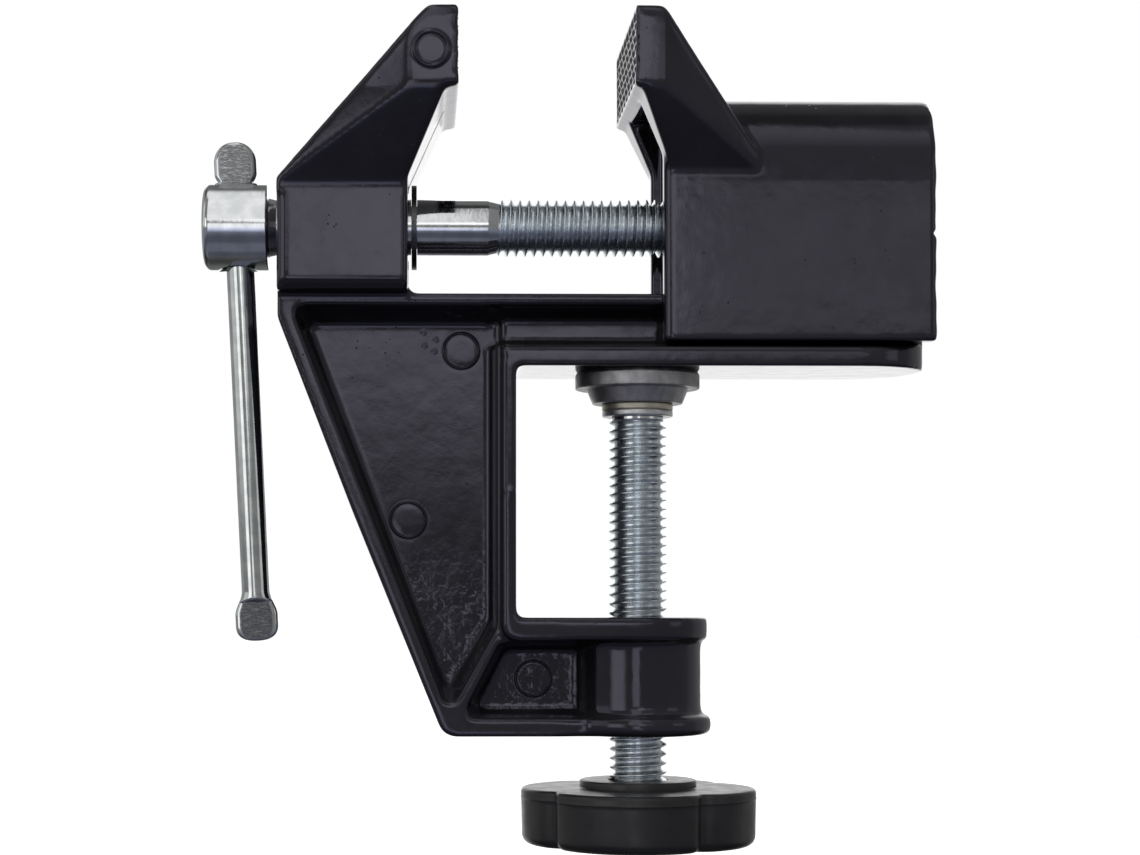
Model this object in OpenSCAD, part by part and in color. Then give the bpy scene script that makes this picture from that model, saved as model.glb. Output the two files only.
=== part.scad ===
// Mini bench vise that clamps to the edge of a bench or table.
// A cast frame holds the fixed jaw, the guide rail and the bench clamp.
// The moving jaw rides on the rail, drawn by a screw that a sliding bar turns.
// Millimetres. X runs from the handle to the moving jaw, Y across, Z is up.
// The origin is where the clamp screw's axis meets the guide's underside.

/* [Jaws] */
// Width of both toothed faces
jaw_w = 30; // [26:0.5:36]
// Height of the jaws' tops above the rail
jaw_h = 37.55; // [36:0.05:40]
// Height of the toothed faces
tooth_h = 10.85; // [9:0.05:12]
// Gap between the two toothed faces
jaw_gap = 23.4; // [0.4:0.1:29.8]
// Depth of the fixed jaw's flat side behind its toothed face
fixed_flat_l = 6.7; // [5:0.1:8]
// Depth of the moving jaw's flat side behind its toothed face
moving_flat_l = 4.1; // [3:0.1:5]
// Radius of the jaws' top corners
jaw_corner_r = 1.2; // [0.5:0.1:3]

/* [Teeth] */
// Distance from one row of teeth to the next, across the jaw
tooth_pitch_w = 3.6; // [3:0.1:5]
// Distance from one row of teeth to the next, up the jaw
tooth_pitch_h = 2.84; // [2.4:0.02:4]
// Depth of the grooves between the teeth
tooth_d = 0.75; // [0.4:0.05:0.9]
// Width of the grooves between the teeth
groove_w = 1.9; // [1:0.05:2]
// Smooth border above and below the teeth
tooth_border = 0.6; // [0.4:0.1:2]

/* [Frame] */
// Width of the guide, the fixed jaw's block and the moving jaw's box
body_w = 20; // [19:0.2:22]
// Width of the frame's rim and of the rail's head
rim_w = 14; // [13:0.1:15]
// Thickness of the web in the frame's pockets
web_t = 4; // [3:0.1:5]
// Thickness of the web under the rail's head
rail_web_t = 6.4; // [5.6:0.1:7]
// Length of the fixed jaw's block
block_l = 17.7; // [17:0.1:19]
// Distance from the throat's inner face to the block's near face
block_setback = 14.6; // [13.6:0.1:17]
// Distance from the clamp screw's axis to the throat's inner face
throat_depth = 17.2; // [15:0.2:20]
// Height of the throat, which takes the bench top
throat_h = 33.85; // [31:0.05:40]
// Thickness of the guide
guide_t = 2.55; // [2:0.05:3]
// Distance from the clamp screw's axis to the guide's far end
guide_reach = 39.5; // [34:0.5:42]
// Height of the rail's top above the guide's underside
rail_h = 10.15; // [9.8:0.05:11]
// Thickness of the rail's head at its edges
rail_head_t = 1.5; // [1.2:0.05:2]
// Slope of the rail's head towards its web
rail_head_drop = 1.65; // [1:0.05:1.8]
// Slope of the guide's top towards the rail's web
guide_rise = 1.25; // [0.6:0.05:1.4]
// Thickness of the flange round the throat
throat_flange_t = 1.85; // [1.5:0.05:2.6]
// Height of the lower arm
arm_h = 16.2; // [15:0.1:18]
// Thickness of the lower arm's top flange
arm_flange_t = 3.15; // [2.5:0.05:4]
// Radius of the lower arm's top flange round the screw
arm_flange_r = 9.6; // [9:0.1:10]
// Radius of the threaded boss in the lower arm
boss_r = 8.7; // [7.5:0.1:9]
// Radius of the foot disc under the lower arm
foot_r = 10.1; // [9.2:0.1:11]
// Thickness of the foot disc and of the frame's lower rim
foot_t = 2.6; // [2.2:0.1:3.6]
// Width of the frame's rim seen from the side
rim_t = 3.9; // [3.4:0.1:4.6]
// Inward slope of the pockets' walls
pocket_draft = 1.3; // [0.6:0.1:1.6]
// Radius of the round marks in the castings
mark_r = 2.48; // [2:0.02:2.8]

/* [Moving jaw] */
// Length of the moving jaw's box
box_l = 37; // [35:0.1:40]
// Distance from the toothed face back to the box's front
box_setback = 4.35; // [4.2:0.05:5]
// Thickness of the box's walls
box_wall = 2.85; // [2.4:0.05:3]
// Height of the box's lower edge above the guide's edge
box_gap = 0.85; // [0.7:0.05:1.1]
// Length of the threaded boss inside the box
nut_l = 12; // [10:0.5:14]
// Radius of the threaded boss inside the box
nut_r = 6.6; // [5.6:0.1:6.9]
// Thickness of the wall that carries the threaded boss
bulkhead_t = 3; // [2:0.1:4]
// Distance from the box's front to that wall
bulkhead_setback = 1.75; // [1:0.05:2.5]

/* [Screws] */
// Outside diameter of both screw threads
screw_d = 8; // [7.6:0.1:8.4]
// Rise of both threads in one turn
pitch = 1.25; // [1.1:0.05:1.4]
// Height of the main screw's axis above the rail's top
screw_rise = 9.9; // [9.5:0.1:10.3]
// Diameter of the main screw's plain shank
shank_d = 7.8; // [7.4:0.1:7.9]
// Distance from the block's far face to the end of the plain shank
shank_out = 11.1; // [8:0.1:11.4]
// Length of the main screw's thread
main_thread_l = 34; // [30:0.5:35]
// Diameter of the main screw's head
head_d = 12.2; // [11.6:0.1:13]
// Length of the main screw's head
head_l = 8.9; // [8.4:0.05:11]
// Length of the neck between the head and the block
neck_l = 1.55; // [1:0.05:2.5]
// Diameter of the neck next to the head
neck_d = 8.3; // [8:0.05:9]
// Outside diameter of the retaining clip
clip_d = 11.6; // [10.6:0.1:12.4]
// Thickness of the retaining clip
clip_t = 0.7; // [0.5:0.05:0.9]
// Gap between the retaining clip and the block
clip_gap = 0.44; // [0.2:0.02:0.8]
// Diameter at the bottom of the clip's groove
groove_d = 6; // [5.5:0.1:6.4]

/* [Handle] */
// Diameter of the sliding bar
bar_d = 3.9; // [3.6:0.1:4.1]
// Play of the bar in the head's cross hole
bar_play = 0.8; // [0.7:0.05:0.9]
// Length of the bar above the main screw's axis
bar_up_l = 11.8; // [11.8:0.1:14]
// Length of the bar below the main screw's axis
bar_down_l = 57.3; // [40:0.1:64]
// Width of the bar's flattened ends
paddle_w = 5.9; // [5.6:0.1:6.6]
// Thickness of the bar's flattened ends
paddle_t = 2.4; // [1.8:0.1:3]
// Length of each flattened end
paddle_l = 6.2; // [6:0.1:6.2]

/* [Bench clamp] */
// Radius of the swivel pad's disc
pad_r = 8.6; // [7.6:0.1:9]
// Thickness of the swivel pad's disc
pad_t = 2.35; // [2:0.05:3]
// Radius of the pad's cone at its wide end
cone_top_r = 7; // [6.4:0.1:7.4]
// Radius of the pad's cone at its narrow end
cone_low_r = 6.25; // [5.6:0.05:6.4]
// Height of the pad's cone
cone_h = 2.05; // [1.5:0.05:3]
// Radius of the two thrust washers
washer_r = 4.9; // [4.5:0.1:5.4]
// Thickness of each thrust washer
washer_t = 0.88; // [0.6:0.02:1.2]
// Radius of the screw's neck, which is riveted over in the pad
rivet_neck_r = 2.5; // [2:0.1:2.8]
// Radius of the riveted end
rivet_r = 3.7; // [3.2:0.1:4]
// Thickness of the riveted end
rivet_t = 0.8; // [0.6:0.1:1]
// Gap between the lower arm and the knob's collar
knob_drop = 6.25; // [3:0.05:16]
// Distance from the knob's axis to the crests of its lobes
knob_r = 16.36; // [15.6:0.02:18]
// Radius of each of the knob's lobes
lobe_r = 12.3; // [11.6:0.1:13]
// Height of the knob's grip
knob_h = 7.8; // [7.4:0.05:10]
// Radius of the knob's collar
collar_r = 8.05; // [7:0.05:9]
// Height of the knob's collar
collar_h = 1.1; // [0.6:0.1:2]
// Width across the flats of the screw's head inside the knob
hex_w = 13; // [12:0.5:14]
// Height of the screw's head inside the knob
hex_h = 5.3; // [4.8:0.1:5.5]

/* [Clearances] */
// Gap on each side between the moving jaw and the rail
slide_gap = 0.15; // [0.1:0.01:0.25]
// Radial gap between a turning screw and its hole
turn_gap = 0.1; // [0.06:0.01:0.15]
// Gap between faces that turn on each other
face_gap = 0.05; // [0.02:0.01:0.1]

/* [Hidden] */

$fn = 96;
// Facets of small hulled and threaded shapes
hull_fn = 32;
thread_fn = 16;
// Overshoot of a cut past the face it opens
over = 1;

body_y = body_w / 2;
rim_y = rim_w / 2;
web_y = web_t / 2;
rail_web_y = rail_web_t / 2;
jaw_y = jaw_w / 2;

// Shape of the jaws behind their toothed faces, as depths and heights
fixed_front_l = 6.8;
fixed_top_l = 4.05;
fixed_waist_l = 25;
moving_top_l = 3.85;
moving_back_l = 18.1;
moving_waist_l = 17.5;
jaw_over_box = 10;
jaw_edge_r = 0.9;
chin_d = 1.8;
chin_h = 0.3;

// Places along X
throat_x = -throat_depth;
block_x1 = throat_x - block_setback;
block_x0 = block_x1 - block_l;
fixed_face_x = block_x1 + fixed_front_l;
moving_face_x = fixed_face_x + jaw_gap;
box_x0 = moving_face_x + box_setback;
box_x1 = box_x0 + box_l;
guide_end_x = guide_reach - body_y;
rail_x0 = throat_x - 2.4;

// Places along Z
rail_top = rail_h;
jaw_top = rail_top + jaw_h;
tooth_low = jaw_top - tooth_h;
screw_z = rail_top + screw_rise;
throat_low = -throat_h;
arm_low = throat_low - arm_h;
box_low = guide_t + box_gap;
box_arc_z = jaw_top - jaw_over_box - body_y;
fixed_waist_z = jaw_top - 23.3;
block_top = rail_top + 14;
moving_back_z = jaw_top - 20.25;
moving_waist_z = jaw_top - 21.4;

// Centres of the round marks in the castings, along X and Z
upper_mark = [throat_x - 7.3, 2.8];
spine_mark = [throat_x - 14.6, throat_low + 13.35];
arm_mark = [throat_x + 2.6, throat_low - 8.45];
jaw_mark = [fixed_face_x - fixed_flat_l / 2 - 0.35, jaw_top - 6.2];
jaw_mark_r = mark_r + 0.12;

// Threads
screw_r = screw_d / 2;
root_r = screw_r - 0.6134 * pitch;
crest_w = pitch / 8;
root_w = pitch / 4;
hole_r = screw_r + turn_gap;
shank_r = shank_d / 2;
shank_hole_r = shank_r + turn_gap;
clip_slot = clip_t + 0.1;

// Sets a shape drawn in X and Z as a slab centred across Y
module slab(t) {
    rotate([90, 0, 0]) linear_extrude(t, center = true) children();
}

// Runs a shape drawn in Y and Z from x0 to x1
module along_x(x0, x1) {
    translate([x0, 0, 0]) rotate([90, 0, 90]) linear_extrude(x1 - x0) children();
}

function unit(v) = v / norm(v);
function flat(p) = [p[0], p[1]];

// Outline through the corners [x, y, r], each rounded to its own radius r
function rounded(c, steps = 5) = [
    for (i = [0 : len(c) - 1])
        let (n = len(c), p = flat(c[i]), r = c[i][2],
             a = unit(flat(c[(i + n - 1) % n]) - p),
             b = unit(flat(c[(i + 1) % n]) - p),
             half = acos(a * b) / 2,
             centre = p + unit(a + b) * r / sin(half),
             from = p + a * r / tan(half) - centre,
             to = p + b * r / tan(half) - centre,
             sweep = 180 - 2 * half)
        each (r == 0 ? [p] : [
            for (k = [0 : steps])
                centre + (from * sin(sweep * (1 - k / steps))
                          + to * sin(sweep * k / steps)) / sin(sweep)
        ])
];

// Clockwise corners [x, y, r] with edge i moved outwards by d[i]
function moved(c, d) = [
    for (i = [0 : len(c) - 1])
        let (n = len(c), j = (i + n - 1) % n, k = (i + 1) % n,
             e = flat(c[i]) - flat(c[j]), f = flat(c[k]) - flat(c[i]),
             u = unit([-e[1], e[0]]), v = unit([-f[1], f[0]]),
             det = u[0] * v[1] - u[1] * v[0])
        [c[i][0] + (d[j] * v[1] - d[i] * u[1]) / det,
         c[i][1] + (d[i] * u[0] - d[j] * v[0]) / det,
         c[i][2]]
];

// Drafted pocket on both sides: its floor at y0, its mouth at y1, cut on past y1
module pocket(floor_corners, walls, y0, y1) {
    inner = rounded(floor_corners);
    outer = rounded(moved(floor_corners, walls * (y1 + over - y0) / (y1 - y0)));
    n = len(inner);
    for (side = [0, 1]) mirror([0, side, 0]) polyhedron(
        points = concat([for (p = inner) [p[0], -y0, p[1]]],
                        [for (p = outer) [p[0], -y1 - over, p[1]]]),
        faces = concat([[for (i = [0 : n - 1]) n - 1 - i]],
                       [[for (i = [0 : n - 1]) n + i]],
                       [for (i = [0 : n - 1]) let (j = (i + 1) % n) [n + j, n + i, i, j]])
    );
}

// Right-hand threaded rod from z = 0 up, whose crests fade in and out over a turn
module threaded_rod(length) {
    last = floor((length / pitch - 1) * thread_fn);
    extra = 4 * (last + 1);
    function z(i) = i * pitch / thread_fn;
    function fade(i) = min(1, i / thread_fn, (last - i) / thread_fn);
    function crest(i) = root_r + (screw_r - root_r) * max(0, fade(i));
    function at(r, i, dz) = [r * cos(360 * i / thread_fn), r * sin(360 * i / thread_fn), z(i) + dz];
    function root(i) = i <= last ? 4 * i : extra + i - last - 1;
    low = extra + thread_fn;
    flank_w = (pitch - root_w - crest_w) / 2;
    function strip(a, b, c, d) = [[a, b, c], [a, c, d]];
    polyhedron(
        points = concat(
            [for (i = [0 : last]) each [
                at(root_r, i, 0), at(root_r, i, root_w),
                at(crest(i), i, root_w + flank_w), at(crest(i), i, root_w + flank_w + crest_w)]],
            [for (i = [last + 1 : last + thread_fn]) at(root_r, i, 0)],
            [[0, 0, pitch / 2], [0, 0, z(last) + pitch / 2]]),
        faces = concat(
            [for (i = [0 : last - 1]) each concat(
                strip(root(i), 4 * i + 1, 4 * i + 5, root(i + 1)),
                strip(4 * i + 1, 4 * i + 2, 4 * i + 6, 4 * i + 5),
                strip(4 * i + 2, 4 * i + 3, 4 * i + 7, 4 * i + 6),
                strip(4 * i + 3, root(i + thread_fn), root(i + 1 + thread_fn), 4 * i + 7))],
            [for (i = [0 : thread_fn - 1]) [low, root(i), root(i + 1)]],
            [[low, root(thread_fn), 3], [low, 3, 2], [low, 2, 1], [low, 1, 0]],
            [for (i = [last : last + thread_fn - 1]) [low + 1, root(i + 1), root(i)]],
            [for (k = [0 : 2]) [low + 1, 4 * last + k, 4 * last + k + 1]],
            [[low + 1, 4 * last + 3, root(last + thread_fn)]])
    );
}

// Crossed V grooves on a toothed face at x, cut towards -X or, with side = 1, +X
module tooth_grooves(x, side) {
    angle = atan(tooth_pitch_h / tooth_pitch_w);
    step = tooth_pitch_w * sin(angle);
    reach = norm([jaw_w, tooth_h]);
    count = ceil(reach / 2 / step);
    intersection() {
        translate([x - over, -jaw_y - over, tooth_low + tooth_border])
            cube([2 * over, jaw_w + 2 * over, tooth_h - 2 * tooth_border]);
        translate([x, 0, tooth_low + tooth_h / 2]) mirror([side, 0, 0])
            for (turn = [-1, 1]) rotate([turn * (90 - angle), 0, 0])
                for (i = [-count : count]) translate([0, i * step, 0])
                    linear_extrude(reach + 2 * over, center = true)
                        polygon([[-tooth_d, 0],
                                 [over / 2, groove_w / 2 * (1 + over / 2 / tooth_d)],
                                 [over / 2, -groove_w / 2 * (1 + over / 2 / tooth_d)]]);
    }
}

// Upper part of a jaw, whose toothed face stands at x = 0 with the jaw in -X:
// flat sides flat_l deep that narrow to the body at the depth waist_l behind and
// the height waist_z below, over a side view drawn as corners [x, z, r]
module jaw_block(side_view, flat_l, waist_l, waist_z) {
    far = min(-waist_l, min([for (p = side_view) p[0]])) - over;
    low = min([for (p = side_view) p[1]]);
    intersection() {
        slab(jaw_w + 2 * over) polygon(rounded(side_view));
        translate([0, 0, low - over]) linear_extrude(jaw_top - low + 2 * over)
            polygon([[over, -jaw_y - over], [over, jaw_y + over], [-flat_l, jaw_y + over],
                     [-flat_l, jaw_y], [-waist_l, body_y], [far, body_y],
                     [far, -body_y], [-waist_l, -body_y], [-flat_l, -jaw_y],
                     [-flat_l, -jaw_y - over]]);
        along_x(far, over) polygon(rounded([
            [-body_y, low - over, 0], [-body_y, waist_z, 0], [-jaw_y, tooth_low, 0],
            [-jaw_y, jaw_top, jaw_corner_r], [jaw_y, jaw_top, jaw_corner_r],
            [jaw_y, tooth_low, 0], [body_y, waist_z, 0], [body_y, low - over, 0]]));
    }
}

// Round mark left by an ejector pin on a side face at y, on both sides
module pin_mark(spot, y, r) {
    mark_w = 0.35;
    mark_d = 0.25;
    for (side = [-1, 1]) translate([spot[0], side * y, spot[1]]) rotate([90, 0, 0])
        difference() {
            cylinder(r = r, h = 2 * mark_d, center = true);
            cylinder(r = r - mark_w, h = 2 * mark_d + over, center = true);
        }
}

// Plan of the guide with its round end
module guide_plan() {
    translate([throat_x - throat_flange_t, -body_y])
        square([guide_end_x - throat_x + throat_flange_t, body_w]);
    translate([guide_end_x, 0]) circle(body_y);
}

// Flange of even width round the throat, with the guide above and the arm below
module throat_flange() {
    far = guide_reach + over;
    outer = rounded([[throat_x - throat_flange_t, guide_t, 2], [far, guide_t, 0],
                     [far, throat_low - arm_flange_t, 0],
                     [throat_x - throat_flange_t, throat_low - arm_flange_t, 2]]);
    throat = rounded([[throat_x, 0, 0.8], [far + over, 0, 0],
                      [far + over, throat_low, 0], [throat_x, throat_low, 1]]);
    intersection() {
        slab(body_w) difference() {
            polygon(outer);
            polygon(throat);
        }
        union() {
            translate([0, 0, throat_low / 2]) linear_extrude(throat_h) guide_plan();
            translate([0, 0, arm_low]) linear_extrude(arm_h + throat_h / 2 + over) {
                translate([throat_x - throat_flange_t, -arm_flange_r])
                    square([throat_depth + throat_flange_t, 2 * arm_flange_r]);
                circle(arm_flange_r);
            }
        }
    }
}

// Rail with its head, web and the guide's sloping top
module rail() {
    intersection() {
        along_x(rail_x0, guide_reach) polygon([
            [-body_y, guide_t / 2], [-body_y, guide_t], [-rail_web_y, guide_t + guide_rise],
            [-rail_web_y, rail_top - rail_head_t - rail_head_drop],
            [-rim_y, rail_top - rail_head_t], [-rim_y, rail_top],
            [rim_y, rail_top], [rim_y, rail_top - rail_head_t],
            [rail_web_y, rail_top - rail_head_t - rail_head_drop],
            [rail_web_y, guide_t + guide_rise], [body_y, guide_t], [body_y, guide_t / 2]]);
        linear_extrude(rail_top + over) guide_plan();
    }
}

// Rim and web of the frame with a large and a small pocket on each side
module rim_and_web() {
    heel_z = rail_top - 3.35;
    spine_x = throat_x - 22.1;
    spine_z = throat_low + 14.25;
    toe_x = throat_x - 9.75;
    toe_r = 2.5;
    web_x = throat_x - 3.3;
    pocket_top = rail_top - rail_head_t - rail_head_drop - 0.35;
    pocket_low_x = throat_x - 8.9;
    pocket_low_z = throat_low - 10.65;
    small_top = throat_low - arm_flange_t - 1.2;
    small_low = arm_low + foot_t + 0.65;
    wall = pocket_draft;
    outer_wall = pocket_draft - 0.35;
    difference() {
        slab(rim_w) polygon(rounded([
            [block_x0, rail_top + over, 0], [block_x1 - over, rail_top + over, 0],
            [block_x1 - over, rail_top, 0], [throat_x - throat_flange_t, rail_top, 0],
            [throat_x - throat_flange_t, guide_t / 2, 0], [throat_x - over, guide_t / 2, 0],
            [throat_x - over, throat_low - over, 0], [0, throat_low - over, 0],
            [0, arm_low, 0], [toe_x, arm_low, toe_r], [spine_x, spine_z, 12],
            [block_x0, heel_z, 1]]));
        pocket([[block_x0 + rim_t - 0.35, pocket_top, 1.2], [web_x, pocket_top, 1.2],
                [web_x, throat_low - 0.35, 1.5], [pocket_low_x - 0.2, pocket_low_z, 1.2]],
               [rail_head_drop + 0.25, 0.75, wall, outer_wall], web_y, rim_y);
        pocket([[throat_x - 1.2, small_top, 1.2], [-boss_r / 2, small_top, 0],
                [-boss_r / 2, small_low, 0], [throat_x - 5.6, small_low, 1.2]],
               [0.9, 0, 0.75, wall], web_y, rim_y);
        // The recess under the rail's head runs on into the large pocket
        for (side = [0, 1]) mirror([0, side, 0]) along_x(web_x - 0.5, throat_x + over) polygon([
            [web_y, guide_t + guide_rise / 2],
            [web_y, rail_top - rail_head_t - rail_head_drop],
            [rail_web_y, rail_top - rail_head_t - rail_head_drop],
            [rim_y + over, rail_top - rail_head_t + rail_head_drop * over / (rim_y - rail_web_y)],
            [rim_y + over, guide_t + guide_rise / 2]]);
    }
}

module frame() {
    edge_r = 1.2;
    chamfer = 1.25;
    ramp = 0.8;
    back_rise = 1.15;
    front_rise = 1.3;
    step_up = 0.3;
    color([0.1, 0.1, 0.11]) difference() {
        union() {
            rim_and_web();
            throat_flange();
            rail();
            // Block under the fixed jaw
            intersection() {
                along_x(block_x0, block_x1) polygon([
                    [-body_y, block_top], [body_y, block_top], [body_y, rail_top + chamfer],
                    [body_y - chamfer, rail_top], [chamfer - body_y, rail_top],
                    [-body_y, rail_top + chamfer]]);
                linear_extrude(block_top + over) polygon(rounded([
                    [block_x0, -body_y, edge_r], [block_x0, body_y, edge_r],
                    [block_x1, body_y, edge_r / 2], [block_x1, -body_y, edge_r / 2]]));
            }
            // Ramp from the rail up to the block
            slab(rim_w) polygon([
                [block_x1 - over, rail_top - over], [block_x1 - over, rail_top + ramp],
                [block_x1, rail_top + ramp], [block_x1 + ramp, rail_top],
                [block_x1 + ramp, rail_top - over]]);
            translate([fixed_face_x, 0, 0]) jaw_block([
                [0, jaw_top, jaw_edge_r], [-fixed_top_l, jaw_top, jaw_edge_r],
                [block_x0 - fixed_face_x, block_top + back_rise, 0],
                [block_x0 - fixed_face_x, block_top - over, 0],
                [-fixed_front_l, block_top - over, 0], [-fixed_front_l, block_top + front_rise, 0],
                [-chin_d, tooth_low - chin_h, 0], [0, tooth_low, 0.3]],
                fixed_flat_l, fixed_waist_l, fixed_waist_z);
            // Threaded boss and foot disc of the lower arm
            translate([0, 0, arm_low]) rotate_extrude() polygon(rounded([
                [0, 0, 0], [foot_r, 0, 0.9], [foot_r, foot_t, 0.6], [boss_r, foot_t + step_up, 0.2],
                [boss_r, arm_h - arm_flange_t, 0], [0, arm_h - arm_flange_t, 0]]));
        }
        // Plain hole for the main screw's shank, and the threaded hole in the arm
        translate([block_x0 - over, 0, screw_z]) rotate([0, 90, 0])
            cylinder(r = shank_hole_r, h = block_l + 2 * over);
        translate([0, 0, arm_low - over]) cylinder(r = hole_r, h = arm_h + 2 * over);
        tooth_grooves(fixed_face_x, 0);
        for (spot = [upper_mark, spine_mark, arm_mark]) pin_mark(spot, web_y, mark_r);
        pin_mark(jaw_mark, jaw_y, jaw_mark_r);
    }
}

module moving_jaw() {
    cavity_y = body_y - box_wall;
    lip_y = rail_web_y + slide_gap;
    lip_drop = rail_head_drop + 0.05;
    lip_bevel = 0.65;
    front_d = 1.1;
    front_rise = 2.55;
    head_y = rim_y + slide_gap;
    lip_z = rail_top - rail_head_t - slide_gap;
    inside_x = box_x0 + bulkhead_setback;
    opening_top = tooth_low - chin_h - 0.35;
    lip_setback = 0.6;
    edge_r = 0.8;
    color([0.1, 0.1, 0.11]) difference() {
        union() {
            intersection() {
                along_x(box_x0, box_x1) {
                    translate([-body_y, box_low]) square([body_w, box_arc_z - box_low]);
                    translate([0, box_arc_z]) circle(body_y);
                }
                linear_extrude(jaw_top) polygon(rounded([
                    [box_x0, -body_y, edge_r], [box_x0, body_y, edge_r],
                    [box_x1, body_y, edge_r], [box_x1, -body_y, edge_r]]));
            }
            translate([moving_face_x, 0, 0]) mirror([1, 0, 0]) jaw_block([
                [0, jaw_top, jaw_edge_r], [-moving_top_l, jaw_top, jaw_edge_r],
                [-moving_back_l, moving_back_z, 0], [-moving_back_l, moving_back_z - over, 0],
                [-box_setback - over, moving_waist_z - over, 0],
                [-box_setback, moving_waist_z + front_rise, 0], [-front_d, tooth_low - chin_h, 0],
                [0, tooth_low, 0.3]],
                moving_flat_l, moving_waist_l, moving_waist_z);
        }
        // Cavity over the rail, open behind the boss and in front of the bulkhead
        difference() {
            along_x(box_x0 - over, box_x1 + over) {
                translate([-cavity_y, rail_top + slide_gap])
                    square([2 * cavity_y, box_arc_z - rail_top - slide_gap]);
                translate([0, box_arc_z]) circle(cavity_y);
            }
            translate([inside_x, -body_y, rail_top]) cube([bulkhead_t, body_w, jaw_h]);
            translate([inside_x, 0, screw_z]) rotate([0, 90, 0]) cylinder(r = nut_r, h = nut_l);
        }
        translate([moving_face_x, -cavity_y, rail_top + slide_gap])
            cube([inside_x - moving_face_x, 2 * cavity_y, opening_top - rail_top - slide_gap]);
        // Channel for the rail's head and web, with lips that hold the head
        along_x(box_x0 - over, box_x1 + over) polygon([
            [-head_y, rail_top + slide_gap], [head_y, rail_top + slide_gap], [head_y, lip_z],
            [lip_y, lip_z - lip_drop], [lip_y, guide_t], [-lip_y, guide_t],
            [-lip_y, lip_z - lip_drop], [-head_y, lip_z]]);
        along_x(box_x0 - over, box_x1 + over) polygon([
            [-head_y, box_low - over], [-head_y, box_low], [-lip_y, box_low + lip_bevel],
            [lip_y, box_low + lip_bevel], [head_y, box_low], [head_y, box_low - over]]);
        translate([box_x0 - over, -head_y, box_low - over])
            cube([over + lip_setback, 2 * head_y, rail_top - box_low + over]);
        // Threaded hole for the main screw
        translate([box_x0, 0, screw_z]) rotate([0, 90, 0])
            cylinder(r = hole_r, h = bulkhead_setback + nut_l + over);
        tooth_grooves(moving_face_x, 1);
    }
}

module main_screw() {
    head_x0 = block_x0 - neck_l - head_l;
    round_r = 0.95;
    neck_run = 1.2;
    clip_x0 = block_x1 + clip_gap;
    shank_x1 = block_x1 + shank_out;
    taper_l = 2;
    taper_r = (root_r + screw_r) / 2;
    tip_l = 1.5;
    thread_x0 = shank_x1 + taper_l - pitch;
    thread_x1 = thread_x0 + main_thread_l;
    tip_r = root_r - 0.1;
    head_r = head_d / 2;
    color([0.75, 0.78, 0.82]) translate([0, 0, screw_z]) difference() {
        rotate([0, 90, 0]) union() {
            rotate_extrude() polygon(concat(
                rounded([[0, head_x0, 0], [head_r, head_x0, round_r],
                         [head_r, head_x0 + head_l, 0.15]]),
                [[neck_d / 2, head_x0 + head_l], [neck_d / 2, head_x0 + head_l + 0.3],
                 [shank_r, head_x0 + head_l + neck_run], [shank_r, clip_x0],
                 [groove_d / 2, clip_x0], [groove_d / 2, clip_x0 + clip_slot],
                 [shank_r, clip_x0 + clip_slot], [shank_r, shank_x1],
                 [taper_r, shank_x1 + taper_l], [0, shank_x1 + taper_l]]));
            translate([0, 0, thread_x0]) threaded_rod(main_thread_l);
            translate([0, 0, thread_x1 - pitch - tip_l]) cylinder(r = tip_r, h = 2 * tip_l);
        }
        // Cross hole for the bar, countersunk at both ends
        translate([head_x0 + bar_inset, 0, 0]) {
            cylinder(r = bar_hole_r, h = head_d + 2 * over, center = true);
            for (side = [0, 1]) mirror([0, 0, side]) translate([0, 0, head_r - bar_sink])
                cylinder(r1 = bar_hole_r, r2 = bar_hole_r + bar_sink + over, h = bar_sink + over);
        }
    }
}

// Cross hole of the head and the lean of the bar in it
bar_inset = 4.65;
bar_hole_r = (bar_d + bar_play) / 2;
bar_sink = 0.5;
lean_share = 0.75;
bar_lean = atan(lean_share * bar_play / head_d);

module retaining_clip() {
    tab_w = 2.6;
    ring_r = 4.5;
    mouth_w = 4.8;
    color([0.08, 0.08, 0.09])
        translate([block_x1 + clip_gap + (clip_slot - clip_t) / 2, 0, screw_z])
            rotate([90, 0, 90]) linear_extrude(clip_t) difference() {
                union() {
                    difference() {
                        circle(d = clip_d);
                        circle(ring_r);
                        translate([0, -mouth_w / 2]) square([clip_d, mouth_w]);
                    }
                    for (a = [70, 180, 290]) rotate(a) translate([groove_d / 2 - 0.6, -tab_w / 2])
                        square([ring_r - groove_d / 2 + 0.9, tab_w]);
                }
                circle(d = groove_d);
            }
}

// Flattened end of the bar, from the round rod at z = 0 up to its tip
module paddle() {
    edge = 0.45;
    wide_z = paddle_l - paddle_w / 2 - 0.9;
    tip_r = paddle_w / 2 - 0.3;
    hull() {
        cylinder(d = bar_d, h = 0.1, $fn = hull_fn);
        for (spot = [[wide_z, paddle_w / 2], [paddle_l - tip_r, tip_r]])
            translate([0, 0, spot[0]]) rotate([90, 0, 0]) {
                cylinder(r = spot[1], h = paddle_t - 2 * edge, center = true, $fn = hull_fn);
                cylinder(r = spot[1] - edge, h = paddle_t, center = true, $fn = hull_fn);
            }
    }
}

module tommy_bar() {
    color([0.75, 0.78, 0.82])
        translate([block_x0 - neck_l - head_l + bar_inset, 0, screw_z])
            rotate([0, -bar_lean, 0]) {
                translate([0, 0, paddle_l - bar_down_l])
                    cylinder(d = bar_d, h = bar_down_l + bar_up_l - 2 * paddle_l);
                translate([0, 0, bar_up_l - paddle_l]) paddle();
                translate([0, 0, paddle_l - bar_down_l]) mirror([0, 0, 1]) paddle();
            }
}

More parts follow.
